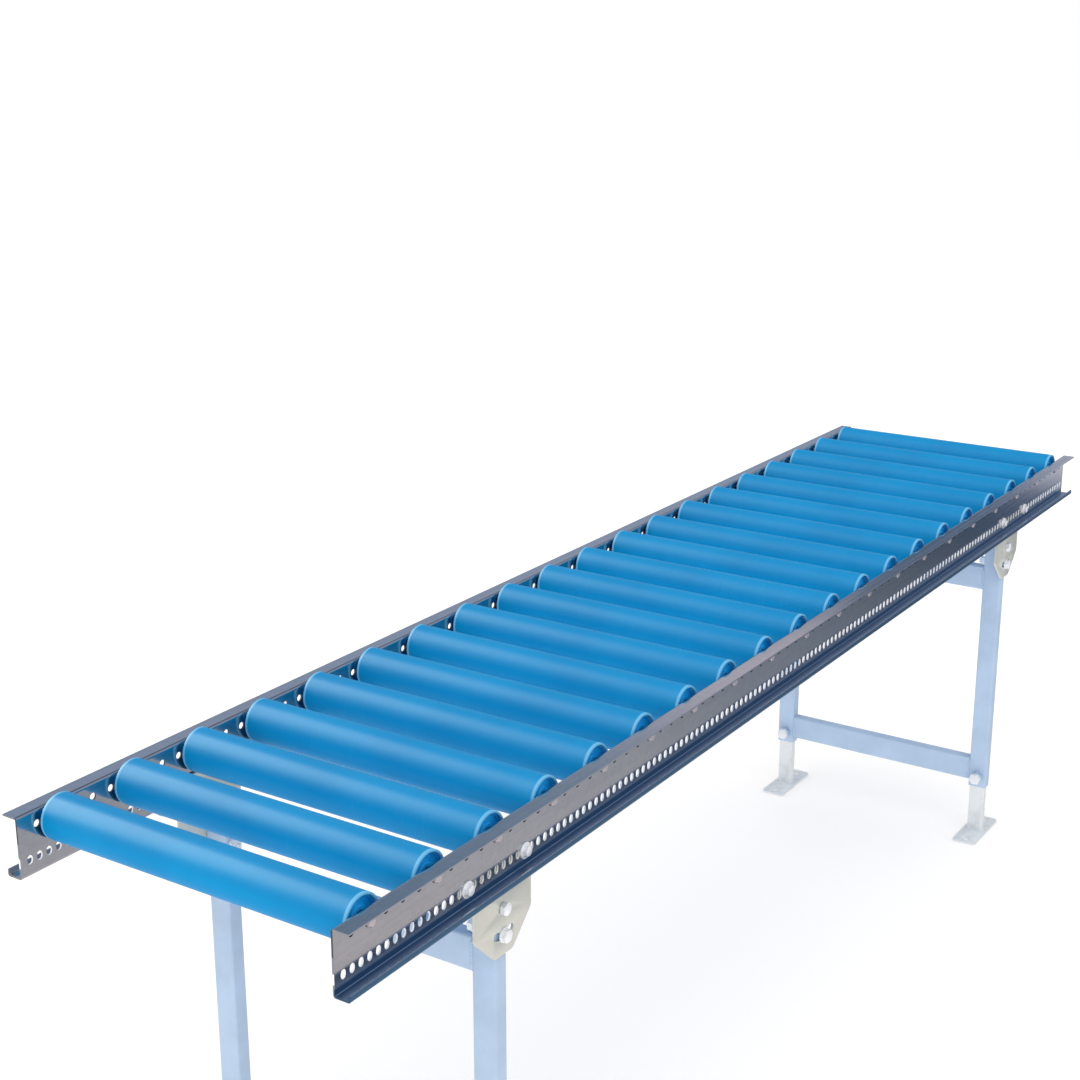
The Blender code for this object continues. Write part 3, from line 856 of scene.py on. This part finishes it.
def bolt_mesh(name, kind, length, thread_from):
    """A bolt along Y: the head sits on y = 0 and grows to +Y, the shank runs down to y = -length."""
    bm = bmesh.new()
    add_threaded_rod(bm, kind["radius"], 0.3 * kind["head"], -length, kind["pitch"], -thread_from)
    add_hexagon(bm, kind["across"], 0.0, kind["head"])
    return finish_mesh(bm, name)


def nut_mesh(name, kind, bore):
    """A nut along Y, from y = -thickness to y = 0."""
    bm = bmesh.new()
    add_hexagon(bm, kind["across"], -kind["nut"], 0.0, bore, True)
    return finish_mesh(bm, name)


def washer_mesh(name, outside, bore, thickness):
    """A washer along Y, from y = 0 to y = thickness."""
    ease = 0.0002
    profile = [(outside, ease), (outside, thickness - ease), (outside - ease, thickness),
               (bore + ease, thickness), (bore, thickness - ease), (bore, ease),
               (bore + ease, 0.0), (outside - ease, 0.0)]
    return turned_mesh(name, profile, 40)


def side_turn(sign, spin=0.0):
    """Turns a fastener's +Y outward on its side, and spins it about its own axis."""
    turn = Matrix.Rotation(0.0 if sign > 0 else math.pi, 4, "Z") @ Matrix.Rotation(spin, 4, "Y")
    return turn.to_euler()


def place_fastener(name, mesh, body, place, turn, node=None, material=BOLT_ZINC):
    place_piece(name, mesh, material, body, place, turn, node)


def make_plate_bolts():
    """Pivot bolts and tilt locking bolts, with their washers and nuts."""
    washer = M8["washer"]
    past_nut = 0.0025
    thread_from = 0.022
    grip = 2 * BOLT_GAP + PLATE_SHEET + UPRIGHT.y
    length = grip + washer + M8["nut"] + past_nut
    pivot = bolt_mesh("pivot_bolt", M8, length, thread_from)
    lock = bolt_mesh("lock_bolt", M8, length + washer, thread_from)
    m8_washer = washer_mesh("m8_washer", 0.008, 0.0042, washer)
    m8_nut = nut_mesh("m8_nut", M8, 0.0038)
    plate_face = PLATE_Y + PLATE_SHEET / 2
    inner_seat = UPRIGHT_Y - UPRIGHT.y / 2 - washer
    lock_z = PIVOT_Z - LOCK_RADIUS
    for end, end_sign in ENDS.items():
        stand = f"stand_{end}"
        for side, sign in SIDES.items():
            x = end_sign * STAND_X
            key = f"{end}_{side}"
            spin = 0.35 + 0.6 * sign + 0.9 * end_sign
            place_fastener(f"pivot_{key}", pivot, "bed",
                           (x, sign * (plate_face + BOLT_GAP), PIVOT_Z),
                           side_turn(sign, spin), f"pivot_bolt_{key}")
            place_fastener(f"lock_bolt_{key}", lock, stand,
                           (x, sign * (plate_face + washer), lock_z), side_turn(sign, spin + 0.5))
            place_fastener(f"lock_washer_{key}", m8_washer, stand,
                           (x, sign * plate_face, lock_z), side_turn(sign))
            for name, body, z in (("pivot", "bed", PIVOT_Z), ("lock", stand, lock_z)):
                seat = (x, sign * inner_seat, z)
                place_fastener(f"{name}_inner_washer_{key}", m8_washer, body, seat,
                               side_turn(sign))
                place_fastener(f"{name}_nut_{key}", m8_nut, body, seat, side_turn(sign, spin))


def make_rail_bolts():
    """The two bolts that hold each head plate to its rail, through slots of the web."""
    washer = M6["washer"]
    past_nut = 0.002
    thread_from = 0.004
    web = RAIL_INNER_Y + RAIL_SHEET
    plate_back = PLATE_Y - PLATE_SHEET / 2
    length = web + washer - plate_back + washer + M6["nut"] + past_nut
    bolt = bolt_mesh("rail_bolt", M6, length, thread_from)
    outer = washer_mesh("rail_washer", 0.009, 0.0031, washer)
    inner = washer_mesh("rail_inner_washer", 0.006, 0.0031, washer)
    nut = nut_mesh("rail_nut", M6, 0.0028)
    for end, end_sign in ENDS.items():
        for side, sign in SIDES.items():
            for place, offset in (("outer", OUTER_BOLT_X), ("inner", INNER_BOLT_X)):
                key = f"{end}_{side}_{place}"
                x = end_sign * (STAND_X + offset)
                spin = 0.2 + 0.7 * sign + 1.1 * end_sign + 8 * offset
                flat, spun = side_turn(sign), side_turn(sign, spin)
                seat = (x, sign * (plate_back - washer), SLOT_Z)
                place_fastener(f"rail_bolt_{key}", bolt, "bed",
                               (x, sign * (web + washer), SLOT_Z), spun)
                place_fastener(f"rail_washer_{key}", outer, "bed", (x, sign * web, SLOT_Z), flat)
                place_fastener(f"rail_inner_washer_{key}", inner, "bed", seat, flat)
                place_fastener(f"rail_nut_{key}", nut, "bed", seat, spun)


def make_clamp_bolts():
    """Height clamps: a screw through the nut welded on the side of each upright."""
    past_wall = 0.0004
    thread_from = 0.001
    reach = WELD_NUT_DEPTH + UPRIGHT_WALL + past_wall
    bolt = bolt_mesh("clamp_bolt", M10, reach, thread_from)
    for end, end_sign in ENDS.items():
        for side, sign in SIDES.items():
            x = end_sign * STAND_X - UPRIGHT.x / 2 - WELD_NUT_DEPTH - BOLT_GAP
            turn = Matrix.Rotation(math.radians(90), 4, "Z") @ Matrix.Rotation(0.4 * sign, 4, "Y")
            place_fastener(f"clamp_{end}_{side}", bolt, f"stand_{end}",
                           (x, sign * UPRIGHT_Y, CLAMP_Z), turn.to_euler(),
                           f"clamp_bolt_{end}_{side}", CLAMP_ZINC)


# ---------------------------------------------------------------- stands


def tube_section_mesh(name, half_u, half_v, wall, corner, length, place=None):
    """A length of rectangular tube along Z, round its middle, then moved by a place matrix."""
    outlines = [rounded_rectangle(half_u, half_v, corner),
                rounded_rectangle(half_u - wall, half_v - wall, max(corner - wall, 0.0006))]
    return plate_mesh(name, outlines, length, 0.0002, place)


def weld_mesh(name, points, radius, seed=0.0):
    """A weld bead along a line of points: a rippled rod, half sunk in the joint. The seed shifts
    its ripples."""
    bm = bmesh.new()
    sides = 10
    ring_gap = 0.0007
    taper_length = 0.003
    rings = []
    path = [Vector(point) for point in points]
    lengths = [0.0]
    for start, end in zip(path, path[1:]):
        lengths.append(lengths[-1] + (end - start).length)
    total = lengths[-1]
    steps = max(8, int(total / ring_gap))
    for step in range(steps + 1):
        along = total * step / steps
        index = max(i for i in range(len(path)) if lengths[i] <= along + 1e-9)
        index = min(index, len(path) - 2)
        start, end = path[index], path[index + 1]
        share = (along - lengths[index]) / (end - start).length
        centre = start.lerp(end, share)
        tangent = (end - start).normalized()
        side = tangent.orthogonal().normalized()
        up = tangent.cross(side)
        phase = 2 * math.pi * along / WELD_RIPPLE_PITCH + seed
        ripple = 1.0 + WELD_RIPPLE * math.sin(phase)
        taper = min(1.0, 0.35 + min(along, total - along) / taper_length)
        here = radius * ripple * taper
        ring = []
        for turn in range(sides):
            angle = 2 * math.pi * turn / sides
            ring.append(centre + here * (math.cos(angle) * side + math.sin(angle) * up))
        rings.append(ring)
    cap_ends(bm, rings_surface(bm, rings, False))
    return finish_mesh(bm, name, 80)


def make_stands():
    """The welded frames: uprights with their plugs and weld nuts, crossbars and weld beads."""
    height = UPRIGHT_HIGH - UPRIGHT_LOW
    corner = 0.003
    bead_radius = 0.0020
    upright = tube_section_mesh("upright", UPRIGHT.x / 2, UPRIGHT.y / 2, UPRIGHT_WALL, corner,
                                height)
    inner_face = UPRIGHT_Y - UPRIGHT.y / 2
    across = Matrix.Rotation(math.radians(90), 4, "X")
    bar = tube_section_mesh("crossbar", CROSSBAR.x / 2, CROSSBAR.z / 2, CROSSBAR_WALL, corner,
                            2 * inner_face, across)
    nut_bm = bmesh.new()
    add_hexagon(nut_bm, M10["across"], 0.0, WELD_NUT_DEPTH, M10["radius"] + 0.0001)
    weld_nut = finish_mesh(nut_bm, "weld_nut")
    plug = plug_mesh()
    for end, end_sign in ENDS.items():
        body = f"stand_{end}"
        x = end_sign * STAND_X
        for side, sign in SIDES.items():
            node = f"stand_frame_{end}" if side == "left" else None
            place_piece(f"upright_{end}_{side}", upright, STAND_BLUE, body,
                        (x, sign * UPRIGHT_Y, UPRIGHT_LOW + height / 2),
                        node=node)
            place_piece(f"upright_plug_{end}_{side}", plug, PLUG_BLACK, body,
                        (x, sign * UPRIGHT_Y, UPRIGHT_HIGH))
            place_piece(f"weld_nut_{end}_{side}", weld_nut, STAND_BLUE, body,
                        (x - UPRIGHT.x / 2, sign * UPRIGHT_Y, CLAMP_Z), (0, 0, math.radians(90)))
        for name, z in CROSSBAR_Z.items():
            place_piece(f"crossbar_{end}_{name}", bar, STAND_BLUE, body, (x, 0.0, z))
            for side, sign in SIDES.items():
                beads = crossbar_beads(sign * inner_face, z)
                for index, (start, finish) in enumerate(beads):
                    seed = index + 2.0 * sign + z
                    mesh = weld_mesh("weld", (start, finish), bead_radius, seed)
                    place_piece(f"weld_{end}_{side}_{name}_{index}", mesh, STAND_BLUE, body,
                                (x, 0.0, 0.0))


def crossbar_beads(y, z):
    """The four weld lines where a crossbar meets an upright's inner face."""
    half_x = CROSSBAR.x / 2 - 0.0005
    half_z = CROSSBAR.z / 2
    ease = 0.003
    return [((-half_x + ease, y, z + half_z), (half_x - ease, y, z + half_z)),
            ((-half_x + ease, y, z - half_z), (half_x - ease, y, z - half_z)),
            ((-half_x, y, z - half_z + ease), (-half_x, y, z + half_z - ease)),
            ((half_x, y, z - half_z + ease), (half_x, y, z + half_z - ease))]


def plug_mesh():
    """A plastic plug for the top of an upright: a low flanged cap with a slightly raised middle."""
    half_u, half_v = UPRIGHT.x / 2 - 0.0002, UPRIGHT.y / 2 - 0.0002
    bm = bmesh.new()
    rings = []
    for inset, z in ((UPRIGHT_WALL + 0.0002, -0.008), (UPRIGHT_WALL + 0.0002, 0.0), (0.0, 0.0),
                     (0.0, 0.0012), (0.0008, 0.0019), (0.0020, 0.0021), (0.0045, 0.0024)):
        outline = rounded_rectangle(half_u - inset, half_v - inset, max(0.0028 - inset, 0.0008))
        rings.append([(u, v, z) for u, v in outline])
    cap_ends(bm, rings_surface(bm, rings, False))
    return finish_mesh(bm, "upright_plug")


def make_legs():
    """The telescopic inner legs, each welded to its foot plate."""
    clearance = 0.0004
    wall = 0.0018
    corner = 0.0025
    bead_radius = 0.0019
    half_u = UPRIGHT.x / 2 - UPRIGHT_WALL - clearance
    half_v = UPRIGHT.y / 2 - UPRIGHT_WALL - clearance
    length = LEG_TOP - FOOT.z
    tube = tube_section_mesh("leg_tube", half_u, half_v, wall, corner, length)
    holes = [circle((x, 0.0), FOOT_HOLE) for x in (-FOOT_HOLE_X, FOOT_HOLE_X)]
    outline = rounded_rectangle(FOOT.x / 2, FOOT.y / 2, 0.006, 6)
    plate = plate_mesh("foot_plate", [outline] + holes, FOOT.z, 0.0005)
    loop = [(u, v, FOOT.z) for u, v in rounded_rectangle(half_u, half_v, corner)]
    bead = weld_mesh("foot_weld", loop + loop[:1], bead_radius)
    for end, end_sign in ENDS.items():
        for side, sign in SIDES.items():
            key = f"{end}_{side}"
            body = f"leg_{key}"
            x, y = end_sign * STAND_X, sign * UPRIGHT_Y
            place_piece(f"leg_tube_{key}", tube, LEG_ZINC, body, (x, y, FOOT.z + length / 2),
                        node=f"foot_leg_{key}")
            place_piece(f"foot_plate_{key}", plate, LEG_ZINC, body, (x, y, FOOT.z / 2))
            place_piece(f"foot_weld_{key}", bead, LEG_ZINC, body, (x, y, 0.0))


# ---------------------------------------------------------------- stage

CAMERA_PLACE = (-2.0735, -1.1259, 1.3984)
CAMERA_HEADING = 33.369
CAMERA_PITCH = -16.852
CAMERA_ROLL = -0.116
CAMERA_LENS = 60.26

# What shiny surfaces see: the sine of the height above the horizon, and the colour there.
STUDIO = (
    (-1.00, (0.60, 0.62, 0.66)), (-0.60, (0.72, 0.69, 0.71)), (-0.49, (0.63, 0.60, 0.63)),
    (-0.46, (0.59, 0.58, 0.61)), (-0.43, (0.52, 0.52, 0.57)), (-0.40, (0.44, 0.46, 0.50)),
    (-0.375, (0.32, 0.35, 0.41)), (-0.355, (0.27, 0.31, 0.37)), (-0.33, (0.20, 0.24, 0.30)),
    (-0.305, (0.14, 0.17, 0.22)), (-0.285, (0.08, 0.11, 0.17)), (-0.268, (0.07, 0.11, 0.18)),
    (-0.258, (0.08, 0.12, 0.22)), (-0.251, (0.34, 0.38, 0.50)), (-0.245, (0.78, 0.78, 0.88)),
    (-0.20, (0.60, 0.60, 0.66)), (-0.12, (0.30, 0.32, 0.36)), (0.12, (0.30, 0.32, 0.36)),
    (0.20, (0.55, 0.58, 0.66)), (0.238, (0.74, 0.76, 0.88)), (0.245, (0.44, 0.48, 0.60)),
    (0.254, (0.08, 0.14, 0.24)), (0.305, (0.08, 0.14, 0.24)), (0.320, (0.14, 0.20, 0.30)),
    (0.336, (0.72, 0.66, 0.74)), (0.374, (0.66, 0.62, 0.70)), (0.386, (0.32, 0.38, 0.50)),
    (0.42, (0.24, 0.32, 0.44)), (0.46, (0.22, 0.31, 0.44)), (0.60, (0.14, 0.19, 0.27)),
    (1.00, (0.12, 0.14, 0.18)),
)
# The side walls of the studio: their colour above the horizon, and how far the left one leans in.
SIDE_WALL = (0.34, 0.42, 0.57)
LEFT_WALL_SLOPE = 1.45
# Lamps: where each shines from, its energy, and its spread in degrees.
OVERHEAD = ((-1.2, -1.0, 4.0), 0.55, 70)
BOUNCE = ((-3.0, -0.6, -2.0), 0.8, 90)
SHEEN = ((-0.6, 3.4, 2.0), 9.4, 52)
SHEEN_COLOUR = (0.90, 1.0, 0.86)
WHITE = (1.0, 1.0, 1.0)
FLOOR_RADIUS = 14.0


def make_camera():
    data = bpy.data.cameras.new("camera")
    data.lens = CAMERA_LENS
    data.sensor_width = 36.0
    data.clip_end = 100.0
    camera = bpy.data.objects.new("camera", data)
    bpy.context.scene.collection.objects.link(camera)
    turn = Matrix.Rotation(math.radians(CAMERA_HEADING - 90), 4, "Z")
    tilt = Matrix.Rotation(math.radians(90 + CAMERA_PITCH), 4, "X")
    roll = Matrix.Rotation(math.radians(CAMERA_ROLL), 4, "Z")
    camera.matrix_world = Matrix.Translation(CAMERA_PLACE) @ turn @ tilt @ roll
    bpy.context.scene.camera = camera


def add_sun(name, lamp, colour=WHITE, lights_colour=True, makes_highlights=True):
    """A distant soft lamp shining from its place toward the middle of the bed."""
    place, energy, spread = lamp
    data = bpy.data.lights.new(name, "SUN")
    data.angle = math.radians(spread)
    data.energy = energy
    data.color = colour
    light = bpy.data.objects.new(name, data)
    bpy.context.scene.collection.objects.link(light)
    light.location = place
    light.rotation_euler = (-Vector(place)).to_track_quat("-Z", "Y").to_euler()
    light.visible_diffuse = lights_colour
    light.visible_glossy = makes_highlights
    return light


def light_only(light, starts):
    """Keeps a lamp to the pieces whose names start in one of the given ways."""
    lit = bpy.data.collections.new(f"{light.name}_lights")
    for piece in bpy.data.objects:
        if piece.name.startswith(starts):
            lit.objects.link(piece)
    light.light_linking.receiver_collection = lit


def make_world():
    """A white dome for the camera and for diffuse light. Shiny surfaces see the walls and the
    floor of a studio instead."""
    world = bpy.data.worlds.new("studio")
    bpy.context.scene.world = world
    # The dome is even, so rays that follow the surfaces find all of it.
    world.cycles.sampling_method = "NONE"
    world.use_nodes = True
    world.node_tree.nodes.clear()
    w = Nodes(world.node_tree)

    def rise_over(value, low, high):
        return w.span(value, low, high, shape="LINEAR")

    direction = w.split(w.make("TexCoord").outputs["Generated"])
    across, rise = direction["Y"], direction["Z"]
    ramp = w.make("ValToRGB", Fac=rise_over(rise, -1.0, 1.0))
    elements = ramp.color_ramp.elements
    while len(elements) < len(STUDIO):
        elements.new(0.5)
    for element, (height, colour) in zip(elements, STUDIO):
        element.position = (height + 1.0) / 2
        element.color = (*colour, 1.0)
    leaning = w.math("SUBTRACT", across, w.math("MULTIPLY", rise, LEFT_WALL_SLOPE))
    sides = w.math("MAXIMUM", rise_over(leaning, -0.02, 0.02), rise_over(across, 0.05, -0.05))
    sides = w.math("MULTIPLY", sides, rise_over(rise, 0.05, 0.10))
    studio = w.make("Background", Color=w.mix(sides, ramp.outputs["Color"], SIDE_WALL))
    dome = w.make("Background", Color=(*WHITE, 1.0))
    mix = w.make("MixShader", Fac=w.make("LightPath").outputs["Is Glossy Ray"])
    w.give(mix.inputs[1], dome.outputs["Background"])
    w.give(mix.inputs[2], studio.outputs["Background"])
    w.make("OutputWorld", Surface=mix.outputs["Shader"])


def make_floor():
    bm = bmesh.new()
    bmesh.ops.create_circle(bm, cap_ends=True, radius=FLOOR_RADIUS, segments=96)
    floor = bpy.data.objects.new("floor", finish_mesh(bm, "floor"))
    bpy.context.scene.collection.objects.link(floor)
    floor.data.materials.append(floor_paint())
    floor.visible_glossy = False
    floor.visible_shadow = False


def make_stage():
    make_camera()
    make_world()
    make_floor()
    add_sun("overhead", OVERHEAD)
    add_sun("bounce", BOUNCE, makes_highlights=False)
    light_only(add_sun("sheen", SHEEN, SHEEN_COLOUR, lights_colour=False), ("tube_", "end_caps_"))
    view = bpy.context.scene.view_settings
    view.view_transform = "Standard"
    view.look = "None"


def main():
    make_rails()
    make_rollers()
    make_head_plates()
    make_plate_bolts()
    make_rail_bolts()
    make_clamp_bolts()
    make_stands()
    make_legs()
    make_stage()


main()
